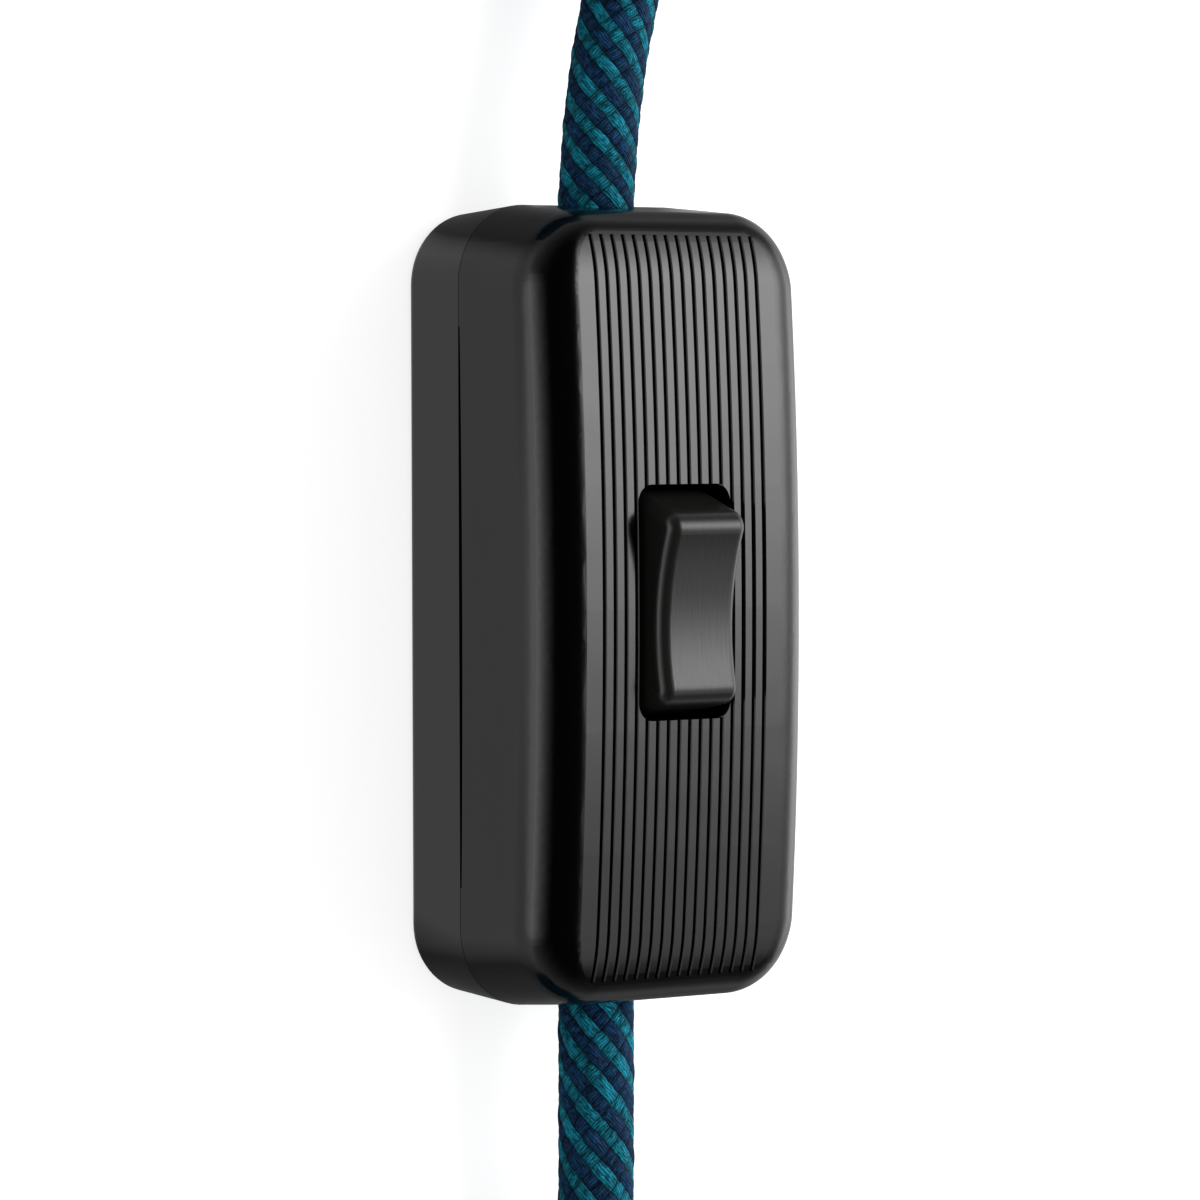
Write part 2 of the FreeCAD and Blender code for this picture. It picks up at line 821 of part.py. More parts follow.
def make_carrier():
    """Moulded base that holds the terminals, with its insulating walls and the blade's stop."""
    plate = slab(carrier_width, carrier_length, carrier_corner, wall, carrier_top)
    walls = []
    wall_top = carrier_top + barrier_height
    start = clamp_offset_y - clamp_length / 2 - barrier_thickness
    end = carrier_length / 2
    for side in (-1, 1):
        low, high = sorted((side * start, side * end))
        walls.append(box(-barrier_thickness / 2, barrier_thickness / 2, low, high, carrier_top, wall_top))
    stop_y = well_centre + (blade_length - stop_thickness) / 2
    drop = (stop_y - well_centre) * math.sin(math.radians(blade_tilt))
    stop_top = blade_pivot_height + blade_lift - drop - stop_gap
    walls.append(centred(0, stop_y, blade_width, stop_thickness, carrier_top, stop_top))
    carrier = fused([plate, *walls])
    holes = [
        post(peg_diameter + 2 * carrier_fit, 0, side * peg_offset, 0, carrier_top + 1) for side in (-1, 1)
    ]
    notch = case_boss_diameter + 2 * carrier_fit
    holes += [post(notch, x, y, 0, carrier_top + 1) for x, y in case_screw_places()]
    return carrier.cut(holes)


def make_grip(side):
    """Arched bar that two screws pull down on the cord."""
    y = side * grip_offset
    inner = cord_radius + grip_clearance
    outer = inner + grip_arch_thickness
    ears = centred(0, y, 2 * grip_half_span, grip_width, seam_height, seam_height + grip_ear_thickness)
    arch = rod(2 * outer, (0, y - grip_width / 2, cord_height), (0, y + grip_width / 2, cord_height))
    arch = arch.cut(box(-outer, outer, y - grip_width, y + grip_width, 0, seam_height))
    bar = fused([ears, arch])
    cuts = [rod(2 * inner, (0, y - grip_width, cord_height), (0, y + grip_width, cord_height))]
    cuts += [
        post(grip_screw_diameter + 2 * screw_clearance, sx * grip_screw_offset, y, 0, case_height)
        for sx in (-1, 1)
    ]
    return bar.cut(cuts)


def make_grip_screws():
    """The four screws of the two cord grips."""
    seat = seam_height + grip_ear_thickness
    return [
        slotted_screw(
            sx * grip_screw_offset,
            sy * grip_offset,
            grip_screw_diameter,
            grip_screw_end,
            seat,
            grip_screw_head,
            grip_screw_head_height,
        )
        for sx in (-1, 1)
        for sy in (-1, 1)
    ]


def make_case_screws():
    """The two screws that close the case from the back."""
    return [
        slotted_screw(
            x,
            y,
            case_screw_diameter,
            counterbore_depth + case_screw_length,
            counterbore_depth,
            case_screw_head,
            case_screw_head_height,
            upward=-1,
        )
        for x, y in case_screw_places()
    ]


def bend_path(points):
    """Straight runs joined by tangent arcs, each as large as its two runs allow."""
    places = [Vector(*p) for p in points]
    edges = []
    radii = []
    at = places[0]
    for before, corner, after in zip(places, places[1:], places[2:]):
        into = corner - before
        out = after - corner
        turn = into.getAngle(out)
        cut = 0.45 * min(into.Length, out.Length)
        radius = cut / math.tan(turn / 2)
        radii.append(round(radius, 1))
        start = corner - into.normalize() * cut
        end = corner + out.normalize() * cut
        inward = (out - into).normalize()
        centre = corner + inward * (radius / math.cos(turn / 2))
        middle = centre - inward * radius
        edges.append(Part.makeLine(at, start))
        edges.append(Part.Arc(start, middle, end).toShape())
        at = end
    edges.append(Part.makeLine(at, places[-1]))
    return Part.Wire(edges), radii


def tube(points, diameter, name):
    """A round cord along a route, with its radii and volume printed."""
    path, radii = bend_path(points)
    start = Vector(*points[0])
    direction = Vector(*points[1]) - start
    ring = Part.Wire(Part.makeCircle(diameter / 2, start, direction))
    solid = path.makePipeShell([ring], True, True)
    section = math.pi * diameter**2 / 4
    share = solid.Volume / (section * path.Length)
    print(f"{name}: length {path.Length:.1f}, radii {radii}, volume over section by length {share:.4f}")
    return solid


def core_pair(side):
    """The live and the neutral core from the end of the jacket to the clamps."""
    pair = []
    for x_side in (1, -1):
        x0 = x_side * core_spread
        x1 = x_side * clamp_offset_x
        clamp_face = clamp_offset_y + clamp_length / 2
        route = [
            (x0, side * (jacket_end - jacket_gap), cord_height),
            (x0, side * (jacket_end - core_run_at_jacket), cord_height),
            (x1, side * (clamp_face + core_run_at_clamp), core_height()),
            (x1, side * (clamp_face + core_end_gap), core_height()),
        ]
        insulation = tube(route, core_diameter, "core")
        copper = rod(
            copper_diameter,
            (x1, side * (clamp_face + copper_in_core), core_height()),
            (x1, side * (clamp_face - copper_in_clamp), core_height()),
        )
        pair.append(fused([insulation, copper]))
    return pair


def racetrack(width, run, z0, z1, x, near, side):
    """A round-ended slab that starts near the case and runs away from it."""
    y = near + side * run / 2
    return slab(width, width + run, width / 2 - 0.001, z0, z1, x, y)


def hank_ring(inner, columns, layers, run, x, near, side):
    """Outer shape of the turns of a put-away lead."""
    centre_outer = inner + (columns - 1) * cord_diameter
    outer_width = 2 * centre_outer + cord_diameter
    inner_width = 2 * inner - cord_diameter
    height = layers * hank_layer
    ring = racetrack(outer_width, run, 0, height, x, near, side)
    ring = ring.cut(racetrack(inner_width, run, -1, height + 1, x, near, side))
    rims = [e for e in ring.Edges if e.BoundBox.ZLength < 0.01]
    return ring.makeFillet(hank_round, rims)


def third_layer(inner, run, x, near, side):
    """The ring of one turn that lies on the first two layers."""
    top = 3 * hank_layer
    ring = racetrack(2 * inner + cord_diameter, run, 2 * hank_layer - 1, top, x, near, side)
    ring = ring.cut(racetrack(2 * inner - cord_diameter, run, 0, top + 1, x, near, side))
    rims = [e for e in ring.Edges if e.BoundBox.ZLength < 0.01 and e.BoundBox.ZMin > top - 0.1]
    return ring.makeFillet(hank_round, rims)


def make_mains_hank(cutters):
    """Two layers of two turns, and part of a third layer on the side away from the plug."""
    ring = hank_ring(lower_hank_inner, 2, 2, lower_hank_run, lower_hank_x, lower_hank_near, -1)
    third_x = lower_hank_x + third_layer_shift
    third = third_layer(lower_hank_inner, lower_hank_run, third_x, lower_hank_near, -1)
    far = lower_hank_near - lower_hank_run
    top = 3 * hank_layer + 1
    reach = 2 * case_length
    tail_start = tail_route[0][1] - hank_clearance
    right = box(third_x, reach, far - reach, tail_start, 0, top)
    left = box(-reach, third_x + 1, far - reach, far, 0, top)
    return ring.fuse(third.cut([right, left])).removeSplitter().cut(cutters)


def make_lamp_hank(cutters):
    """Two layers of one turn, and half a third layer on the side that the cord comes in on."""
    ring = hank_ring(upper_hank_inner, 1, 2, upper_hank_run, upper_hank_x, upper_hank_near, 1)
    third = third_layer(upper_hank_inner, upper_hank_run, upper_hank_x, upper_hank_near, 1)
    top = 3 * hank_layer + 1
    reach = 2 * case_length
    jacket_y = bare_route[0][1] + hank_clearance
    left = box(-reach, upper_hank_x, 0, jacket_y, 0, top)
    near = box(upper_hank_x - 1, reach, 0, upper_hank_near, 0, top)
    return ring.fuse(third.cut([left, near])).removeSplitter().cut(cutters)


def make_tie(x, y, width, height, slack=0.0):
    """A flat band round the turns on one long side. slack thickens it, to cut its room."""
    half = width / 2 + hank_clearance
    skin = tie_thickness + slack
    top = height + hank_clearance + skin
    reach = tie_width / 2 + slack
    band = box(x - half - skin, x + half + skin, y - reach, y + reach, -slack, top)
    edges = [e for e in band.Edges if e.BoundBox.YLength > 1]
    band = band.makeFillet(hank_round + hank_clearance, edges)
    low = tie_thickness + slack
    inner = box(
        x - half + slack,
        x + half - slack,
        y - tie_width,
        y + tie_width,
        low,
        height + hank_clearance - slack,
    )
    edges = [e for e in inner.Edges if e.BoundBox.YLength > 1]
    return band.cut(inner.makeFillet(hank_round - tie_thickness / 2, edges))


def lamp_tie(slack=0.0):
    """The band round the lamp lead's hank."""
    x = upper_hank_x + upper_hank_inner
    y = upper_hank_near + upper_hank_run * lamp_tie_share
    return make_tie(x, y, cord_diameter, 3 * hank_layer, slack)


def mains_tie(slack=0.0):
    """The band round the mains lead's hank."""
    x = lower_hank_x - lower_hank_inner - cord_radius
    y = lower_hank_near - lower_hank_run * mains_tie_share
    return make_tie(x, y, 2 * cord_diameter, 3 * hank_layer, slack)


def bare_cores():
    """The lamp lead's two cores, stripped ready for a lamp holder."""
    pair = []
    for side in (-1, 1):
        route = [(x + side * bare_core_spread, y, z) for x, y, z in bare_route]
        insulation = tube(route, core_diameter, "bare core")
        x, y, z = route[-1]
        copper = rod(copper_diameter, (x, y + 1, z), (x, y - bare_copper_length, z))
        pair.append(fused([insulation, copper]))
    return pair


def plug_axis_z():
    """Height of the plug's axis, on top of the lower hank."""
    return 2 * hank_layer + plug_rest_gap + plug_thickness / 2


def upright_outline(width, height, radius, y):
    """A rounded rectangle that stands across the cord at the plug."""
    wire = outline(width, height, radius, 0)
    wire.rotate(Vector(0, 0, 0), X_AXIS, 90)
    wire.translate(Vector(plug_x, y, plug_axis_z()))
    return wire


def make_plug_body():
    """Flat two-pin plug body that narrows towards its cord."""
    back = plug_front + plug_length
    shoulder_width = plug_width * plug_shoulder_share
    sections = [
        upright_outline(plug_width, plug_thickness, plug_corner, plug_front),
        upright_outline(plug_width, plug_thickness, plug_corner, plug_front + plug_length - 2 * plug_waist),
        upright_outline(shoulder_width, plug_thickness, plug_corner, back - plug_waist / 2),
        upright_outline(plug_back_width, plug_back_thickness, plug_corner, back),
    ]
    return Part.makeLoft(sections, True, True)


def make_plug_relief():
    """Tapered, grooved strain relief of the plug."""
    start = plug_front + plug_length
    z = plug_axis_z()
    cone = Part.makeCone(
        relief_large / 2, relief_small / 2, relief_length, Vector(plug_x, start, z), Y_AXIS
    )
    pitch = relief_length / (relief_groove_count + 1)
    cuts = []
    for k in range(1, relief_groove_count + 1):
        y = start + k * pitch
        low = y - relief_groove / 2
        high = y + relief_groove / 2
        sleeve = rod(2 * relief_large, (plug_x, low, z), (plug_x, high, z))
        neck = rod(relief_neck, (plug_x, y - 2, z), (plug_x, y + 2, z))
        cuts.append(sleeve.cut(neck))
    return cone.cut(cuts)


def plug_pin_places():
    """The two pins' places across the plug."""
    return [plug_x - plug_pin_spacing / 2, plug_x + plug_pin_spacing / 2]


def make_plug_pins():
    """Two round pins with a rounded tip and a thinner sleeved root."""
    z = plug_axis_z()
    tip = plug_front - plug_pin_length
    pins = []
    for x in plug_pin_places():
        pin = rod(plug_pin_diameter, (x, plug_front - plug_sleeve_length, z), (x, tip, z))
        rim = [e for e in pin.Edges if e.BoundBox.YMax < tip + 0.01]
        pins.append(pin.makeFillet(plug_pin_tip_round, rim))
    return pins


def make_plug_sleeves():
    """Insulating sleeves on the roots of the pins."""
    z = plug_axis_z()
    return [
        rod(plug_sleeve_diameter, (x, plug_front, z), (x, plug_front - plug_sleeve_length, z))
        for x in plug_pin_places()
    ]


def build():
    """Make every piece."""
    nodes["front_cover"] = make_front_cover()
    nodes["rear_cover"] = make_rear_cover()
    nodes["rocker"] = make_rocker()
    nodes["rocker_pin"] = make_pin()
    nodes["plunger_spring"] = make_spring()
    nodes["plunger"] = make_plunger()
    nodes["contact_blade"] = make_blade()
    nodes["contact_carrier"] = make_carrier()
    nodes["lamp_terminal"] = make_lamp_terminal()
    nodes["mains_terminal"] = make_mains_terminal()
    nodes["neutral_connector"] = make_neutral_connector()
    nodes["terminal_screws"] = Part.makeCompound(make_terminal_screws())
    nodes["lamp_side_grip"] = make_grip(1)
    nodes["mains_side_grip"] = make_grip(-1)
    nodes["grip_screws"] = Part.makeCompound(make_grip_screws())
    nodes["case_screws"] = Part.makeCompound(make_case_screws())
    for side, place in ((1, "lamp"), (-1, "mains")):
        live, neutral = core_pair(side)
        nodes[f"{place}_live_core"] = live
        nodes[f"{place}_neutral_core"] = neutral

    nodes["lamp_lead"] = tube(upper_route, cord_diameter, "lamp_lead")
    nodes["mains_lead"] = tube(lower_route, cord_diameter, "mains_lead")
    tail = tube(tail_route, cord_diameter, "plug_tail")
    relief_end = plug_front + plug_length + relief_length
    nodes["plug_tail"] = tail.cut(centred(plug_x, relief_end - 5, 4 * cord_diameter, 10, 0, 2 * case_height))
    fat = cord_diameter + 2 * hank_clearance
    lamp_room = tube(upper_route, fat, "room for lamp_lead")
    mains_room = tube(lower_route, fat, "room for mains_lead")
    tail_room = tube(tail_route, fat, "room for plug_tail")
    nodes["lamp_lead_hank"] = make_lamp_hank([lamp_room, lamp_tie(hank_clearance)])
    nodes["mains_lead_hank"] = make_mains_hank([mains_room, tail_room, mains_tie(hank_clearance)])
    nodes["lamp_hank_tie"] = lamp_tie()
    nodes["mains_hank_tie"] = mains_tie()
    nodes["lamp_end_neutral_core"], nodes["lamp_end_live_core"] = bare_cores()
    nodes["plug_body"] = make_plug_body()
    nodes["plug_relief"] = make_plug_relief()
    nodes["plug_pins"] = Part.makeCompound(make_plug_pins())
    nodes["plug_pin_sleeves"] = Part.makeCompound(make_plug_sleeves())


build()
os.makedirs("parts", exist_ok=True)
for name, shape in nodes.items():
    shape.exportStep(f"parts/{name}.step")
    kinds = f"{len(shape.Solids)} solid, {len(shape.Faces)} faces, valid {shape.isValid()}"
    print(f"{name}: {kinds}, volume {shape.Volume:.1f}")
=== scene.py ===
import json
import math

import bmesh
import bpy
from mathutils import Matrix, Vector


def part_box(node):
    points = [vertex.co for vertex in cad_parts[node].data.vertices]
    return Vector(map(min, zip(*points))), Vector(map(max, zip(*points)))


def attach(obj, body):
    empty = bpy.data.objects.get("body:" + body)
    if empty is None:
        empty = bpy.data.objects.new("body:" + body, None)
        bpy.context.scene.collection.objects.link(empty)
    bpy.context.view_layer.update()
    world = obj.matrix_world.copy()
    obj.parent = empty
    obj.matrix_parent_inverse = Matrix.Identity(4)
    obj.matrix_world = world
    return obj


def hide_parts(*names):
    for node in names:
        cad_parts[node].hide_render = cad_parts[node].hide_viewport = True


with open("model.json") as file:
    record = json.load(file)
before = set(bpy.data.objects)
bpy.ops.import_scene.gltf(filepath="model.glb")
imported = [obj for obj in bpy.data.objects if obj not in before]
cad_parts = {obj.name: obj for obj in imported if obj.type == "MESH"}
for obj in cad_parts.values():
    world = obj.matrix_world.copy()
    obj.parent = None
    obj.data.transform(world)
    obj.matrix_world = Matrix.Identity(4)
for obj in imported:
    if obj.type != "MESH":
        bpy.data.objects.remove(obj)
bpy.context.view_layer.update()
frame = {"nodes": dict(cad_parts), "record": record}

MM = 0.001

# The cord, in millimetres. A braid's lead is the length over which a strand turns once round the cord
CORD_DIAMETER = 7.0
MAINS_BRAID_LEAD = 23.7
LAMP_BRAID_LEAD = 19.8
STRAND_BULGE = 0.17
BARE_COPPER_LENGTH = 7.0

# The braid: its strands each way, the yarns in a strand, the marks of their twist over one strand's
# width, a rib's height against a float's, how far a strand strays in its own widths, and the part of a
# turn at which each lead's pattern starts
STRANDS = 12
YARNS = 5
YARN_TWISTS = 5
RIB_SHARE = 0.6
STRAND_SLACK = 0.07
MAINS_BRAID_PHASE = -0.115
LAMP_BRAID_PHASE = 0.072

# Where the leads leave the case, and their free stretches, as in the part's source
LAMP_ROUTE = [(0.0, 27.5, 9.0), (0.0, 44.0, 9.0), (6.6, 65.0, 7.8), (9.6, 79.0, 4.4)]
LAMP_END_ROUTE = [(-33.0, 108.0, 17.5), (-33.0, 103.9, 17.4)]
MAINS_ROUTE = [
    (0.0, -26.3, 9.0),
    (0.0, -45.0, 9.0),
    (0.9, -62.0, 7.6),
    (8.6, -76.0, 4.3),
    (12.0, -90.0, 3.6),
]
TAIL_ROUTE = [(1.4, -100.5, 18.2), (-1.3, -110.5, 20.4), (-1.8, -118.8, 21.05)]

# The put-away hanks, in millimetres: where their straight runs start, and how long the runs are. The
# turns are counted from the first run's start
MAINS_HANK_START = -95.0
MAINS_HANK_RUN = 42.0
MAINS_HANK_CENTRE = -16.0
MAINS_HANK_RADIUS = 28.0
MAINS_HANK_TURNS = (0.0, 4.0)
LAMP_HANK_START = 84.0
LAMP_HANK_RUN = 24.0
LAMP_HANK_CENTRE = -12.0
LAMP_HANK_RADIUS = 21.15
LAMP_HANK_TURNS = (0.05, 2.49)

# The stretches of the hanks, in turns, over which the cord moves over by one diameter
MAINS_MOVES_IN = (0.80, 0.99)
MAINS_CLIMBS = (1.68, 1.82)
MAINS_MOVES_OUT = (2.50, 2.70)
MAINS_MOVES_IN_AGAIN = (3.33, 3.54)
MAINS_CLIMBS_AGAIN = (3.36, 3.52)
LAMP_CLIMBS = (0.8, 0.98)
LAMP_CLIMBS_AGAIN = (1.8, 1.98)

# Control points of a hank's turn: shares of a straight run, and degrees round a fold
RUN_SHARES = (0.15, 0.5, 0.85)
FOLD_ANGLES = (15, 45, 75, 105, 135, 165)

# The leads' mesh, in millimetres: fine over the first stretch, which the photograph's view shows
FINE_LENGTH = 45.0
FINE_STEP = 0.22
COARSE_STEP = 0.78
FINE_SIDES = 96
COARSE_SIDES = 48

# Most values of a noise texture lie between these two
NOISE_LOW = 0.3
NOISE_HIGH = 0.7

BROWN_INSULATION = (0.16, 0.055, 0.02)
BLUE_INSULATION = (0.02, 0.12, 0.42)

# The studio's light, where 1 is white
PEAK_LUMINANCE = 6.5
HORIZON_LUMINANCE = 2.4
DIMMER_AT_ENDS = 0.2
ROOM_LIGHT = 0.4
FLOOR_TO_CAMERA = 0.75
# The floor as reflections see it: a painted shadow beside the case, and painted light far away
NEAR_FLOOR_IN_REFLECTIONS = 0.54
FAR_FLOOR_IN_REFLECTIONS = 1.75
WHITE = (1, 1, 1, 1)


# Shader nodes


def fill(tree, node, values):
    """Sets or links a node's inputs, by name or number."""
    for key, value in values.items():
        if isinstance(value, bpy.types.NodeSocket):
            tree.links.new(value, node.inputs[key])
        else:
            node.inputs[key].default_value = value


def add(tree, kind, values=None, **settings):
    """The outputs of a new shader node with its settings and its inputs."""
    node = tree.nodes.new(kind)
    for name, value in settings.items():
        setattr(node, name, value)
    fill(tree, node, values or {})
    return node.outputs


def calc(tree, operation, a, b=0.5, c=0.5, clamp=False):
    """The result of one Math node."""
    return add(tree, "ShaderNodeMath", {0: a, 1: b, 2: c}, operation=operation, use_clamp=clamp)[0]


def product(tree, *values):
    """All the values multiplied together."""
    result = values[0]
    for value in values[1:]:
        result = calc(tree, "MULTIPLY", result, value)
    return result


def blend_value(tree, mask, below, above):
    """One value over another by a mask."""
    return add(tree, "ShaderNodeMix", {0: mask, 2: below, 3: above})[0]


def blend_colour(tree, mask, below, above, how="MIX"):
    """One colour over another by a mask."""
    return add(tree, "ShaderNodeMix", {0: mask, 6: below, 7: above}, data_type="RGBA", blend_type=how)[2]


def remap(tree, value, low, high, to_low, to_high):
    """A value stretched from one range to another, held at both ends."""
    return add(tree, "ShaderNodeMapRange", {0: value, 1: low, 2: high, 3: to_low, 4: to_high})[0]


def noise(tree, place, scale, detail, **more):
    """The value and the colour of a noise texture."""
    return add(tree, "ShaderNodeTexNoise", {"Vector": place, "Scale": scale, "Detail": detail, **more})


def relief(tree, height, strength, distance, **below):
    """The normal of a surface with this height."""
    values = {"Strength": strength, "Distance": distance, "Height": height, **below}
    return add(tree, "ShaderNodeBump", values)[0]


def humps(tree, value, pace):
    """Rounds between 0 and 1, side by side. The pace is in radians for each unit of the value."""
    return calc(tree, "ABSOLUTE", calc(tree, "SINE", calc(tree, "MULTIPLY", value, pace)))


def object_place(tree):
    """The point's place on the object, in metres."""
    return add(tree, "ShaderNodeTexCoord")["Object"]


def apart(tree, vector):
    """The three parts of a vector."""
    return add(tree, "ShaderNodeSeparateXYZ", {0: vector})


def new_group(name, inputs, outputs):
    """An empty node group, its inputs' values and its output node."""
    tree = bpy.data.node_groups.new(name, "ShaderNodeTree")
    for label, value in inputs:
        socket = tree.interface.new_socket(label, in_out="INPUT", socket_type="NodeSocketFloat")
        socket.default_value = value
    for label, kind in outputs:
        tree.interface.new_socket(label, in_out="OUTPUT", socket_type=kind)
    return tree, tree.nodes.new("NodeGroupInput").outputs, tree.nodes.new("NodeGroupOutput")


def moulded_skin_group():
    """Slow waviness and fine grain, for moulded plastic and drawn metal."""
    tree, given, out = new_group(
        "moulded skin",
        [
            ("Grain Size", 4000.0),
            ("Grain Along", 1.0),
            ("Grain Depth", 0.1),
            ("Wave Depth", 0.1),
            ("Roughness", 0.2),
            ("Roughness Change", 0.05),
        ],
        [("Normal", "NodeSocketVector"), ("Roughness", "NodeSocketFloat")],
    )
    wave_scale, wave_distance = 160.0, 0.0006
    grain_distance = 0.00005
    patch_scale = 90.0
    place = object_place(tree)
    x, y, z = apart(tree, place)
    drawn_out = calc(tree, "MULTIPLY", y, given["Grain Along"])
    lines = add(tree, "ShaderNodeCombineXYZ", {0: x, 1: drawn_out, 2: z})[0]
    grain = noise(tree, lines, given["Grain Size"], detail=3.0)[0]
    wave = noise(tree, place, wave_scale, detail=1.0)[0]
    slow = relief(tree, wave, strength=given["Wave Depth"], distance=wave_distance)
    fine = relief(tree, grain, strength=given["Grain Depth"], distance=grain_distance, Normal=slow)
    patches = noise(tree, place, patch_scale, detail=4.0)[0]
    shift = calc(tree, "MULTIPLY", calc(tree, "SUBTRACT", patches, 0.5), given["Roughness Change"])
    roughness = calc(tree, "ADD", given["Roughness"], shift, clamp=True)
    fill(tree, out, {"Normal": fine, "Roughness": roughness})
    return tree


def edge_wear_group():
    """A mask that is 1 along sharp edges that hands rub."""
    tree, given, out = new_group(
        "edge wear",
        [("Width", 0.0003), ("Amount", 0.5)],
        [("Mask", "NodeSocketFloat")],
    )
    flat_enough, sharp_enough = 0.995, 0.9
    patch_scale, patch_low, patch_high = 500.0, 0.35, 0.65
    least_in_patch = 0.3
    true_normal = add(tree, "ShaderNodeNewGeometry")["Normal"]
    rounded = add(tree, "ShaderNodeBevel", {"Radius": given["Width"]}, samples=4)[0]
    agree = add(tree, "ShaderNodeVectorMath", {0: rounded, 1: true_normal}, operation="DOT_PRODUCT")["Value"]
    edge = remap(tree, agree, flat_enough, sharp_enough, 0.0, 1.0)
    patches = noise(tree, object_place(tree), patch_scale, detail=3.0)[0]
    patches = remap(tree, patches, patch_low, patch_high, least_in_patch, 1.0)
    worn = calc(tree, "MULTIPLY", edge, patches)
    fill(tree, out, {"Mask": calc(tree, "MULTIPLY", worn, given["Amount"], clamp=True)})
    return tree


def braid_group():
    """Colour mask, height, and painted shade with uneven tone, of a two-tone tubular braid.

    They come from the angle round the cord and the turns along it. A strand that winds one way passes
    over two of the others, which shows as a float, and then under two, which show as ribs.
    """
    tree, given, out = new_group(
        "braid",
        [("Angle", 0.0), ("Turns", 0.0)],
        [("Second Strand", "NodeSocketFloat"), ("Height", "NodeSocketFloat"), ("Shade", "NodeSocketFloat")],
    )
    patch_scale, slack_scale, fibre_scale, fibre_stretch = 300.0, 900.0, 5.0, 0.4
    float_round, float_ends, rib_round, rib_level = 0.4, 0.35, 0.45, 0.75
    yarn_round, twist_depth, yarn_depth, fibre_depth = 0.9, 0.4, 0.4, 0.3
    yarn_top, fibre_low, fibre_high = 0.9, 0.32, 0.70
    # The levels of painted shade between strands and between yarns, and of uneven tone in fibres and patches
    painted_shade_between_strands, painted_shade_between_yarns = (0.1, 1.0), (0.35, 1.15)
    shades_of_fibre, shades_of_patch = (0.3, 1.9), (0.75, 1.2)
    place = object_place(tree)
    patches = noise(tree, place, patch_scale, detail=2.0)[0]
    slack = add(tree, "ShaderNodeSeparateColor", {0: noise(tree, place, slack_scale, detail=4.0)[1]})

    def wound(operation, loose):
        """The number of strands passed, counted across one of the two windings."""
        winding = calc(tree, operation, given["Angle"], given["Turns"])
        shift = remap(tree, loose, NOISE_LOW, NOISE_HIGH, -STRAND_SLACK, STRAND_SLACK)
        return calc(tree, "ADD", calc(tree, "MULTIPLY", winding, float(STRANDS)), shift)

    def hump(value, power):
        """A round over each whole step of the value. A low power makes it flatter."""
        wave = calc(tree, "SINE", calc(tree, "MULTIPLY", calc(tree, "FRACT", value), math.pi))
        return calc(tree, "POWER", wave, power)

    def with_depth(wave, depth):
        """A wave between 0 and 1, brought up so that it only cuts this deep."""
        return calc(tree, "MULTIPLY_ADD", wave, depth, 1 - depth)

    def yarns(across, along):
        """Height of the yarns in a strand: a round each, with the turns of its twist."""
        rounds = calc(tree, "POWER", humps(tree, across, math.pi * YARNS), yarn_round)
        turned = calc(tree, "MULTIPLY", along, float(YARN_TWISTS))
        slant = calc(tree, "MULTIPLY_ADD", across, YARNS / 2, turned)
        return calc(tree, "MULTIPLY", rounds, with_depth(humps(tree, slant, math.pi), twist_depth))

    def fibres(across, along):
        """Light and dark fibres, longer than they are wide, that run with the yarns."""
        drawn_out = calc(tree, "MULTIPLY", along, fibre_stretch)
        line = add(tree, "ShaderNodeCombineXYZ", {0: across, 1: drawn_out, 2: patches})[0]
        return noise(tree, line, fibre_scale, detail=2.0, Roughness=0.6)[0]

    one_way = wound("ADD", slack[0])
    other_way = wound("SUBTRACT", slack[1])
    pairs = calc(tree, "DIVIDE", other_way, 2.0)
    strand = calc(tree, "FLOOR", one_way)
    under = calc(tree, "FLOORED_MODULO", calc(tree, "ADD", strand, calc(tree, "FLOOR", pairs)), 2.0)
    float_form = product(tree, hump(one_way, float_round), hump(pairs, float_ends))
    rib_form = product(tree, hump(one_way, rib_round), hump(other_way, rib_round), rib_level)
    form = blend_value(tree, under, float_form, rib_form)
    yarn = blend_value(tree, under, yarns(one_way, other_way), yarns(other_way, one_way))
    spots = blend_value(tree, under, fibres(one_way, other_way), fibres(other_way, one_way))
    height = calc(tree, "MULTIPLY", form, with_depth(yarn, yarn_depth))
    height = calc(tree, "MULTIPLY_ADD", spots, fibre_depth, height)
    # Painted shade: dark in the gaps between strands, at the ends of floats and between yarns. And a tone
    # that is uneven from fibre to fibre and from patch to patch
    shade = product(
        tree,
        remap(tree, form, 0.0, rib_level, *painted_shade_between_strands),
        remap(tree, yarn, 0.0, yarn_top, *painted_shade_between_yarns),
        remap(tree, spots, fibre_low, fibre_high, *shades_of_fibre),
        remap(tree, patches, NOISE_LOW, NOISE_HIGH, *shades_of_patch),
    )
    second = calc(tree, "FLOORED_MODULO", strand, 2.0)
    fill(tree, out, {"Second Strand": second, "Height": height, "Shade": shade})
    return tree


skin = moulded_skin_group()
wear = edge_wear_group()
braid = braid_group()


# Materials


def new_material(name):
    """A new material, its node tree and its shader."""
    material = bpy.data.materials.new(name)
    material.use_nodes = True
    return material, material.node_tree, material.node_tree.nodes["Principled BSDF"]


def place_skin(tree, roughness, change, grain_size, grain_depth, wave_depth, grain_along=1.0):
    """The moulded skin group in a material."""
    values = {
        "Grain Size": grain_size,
        "Grain Along": grain_along,
        "Grain Depth": grain_depth,
        "Wave Depth": wave_depth,
        "Roughness": roughness,
        "Roughness Change": change,
    }
    return add(tree, "ShaderNodeGroup", values, node_tree=skin)


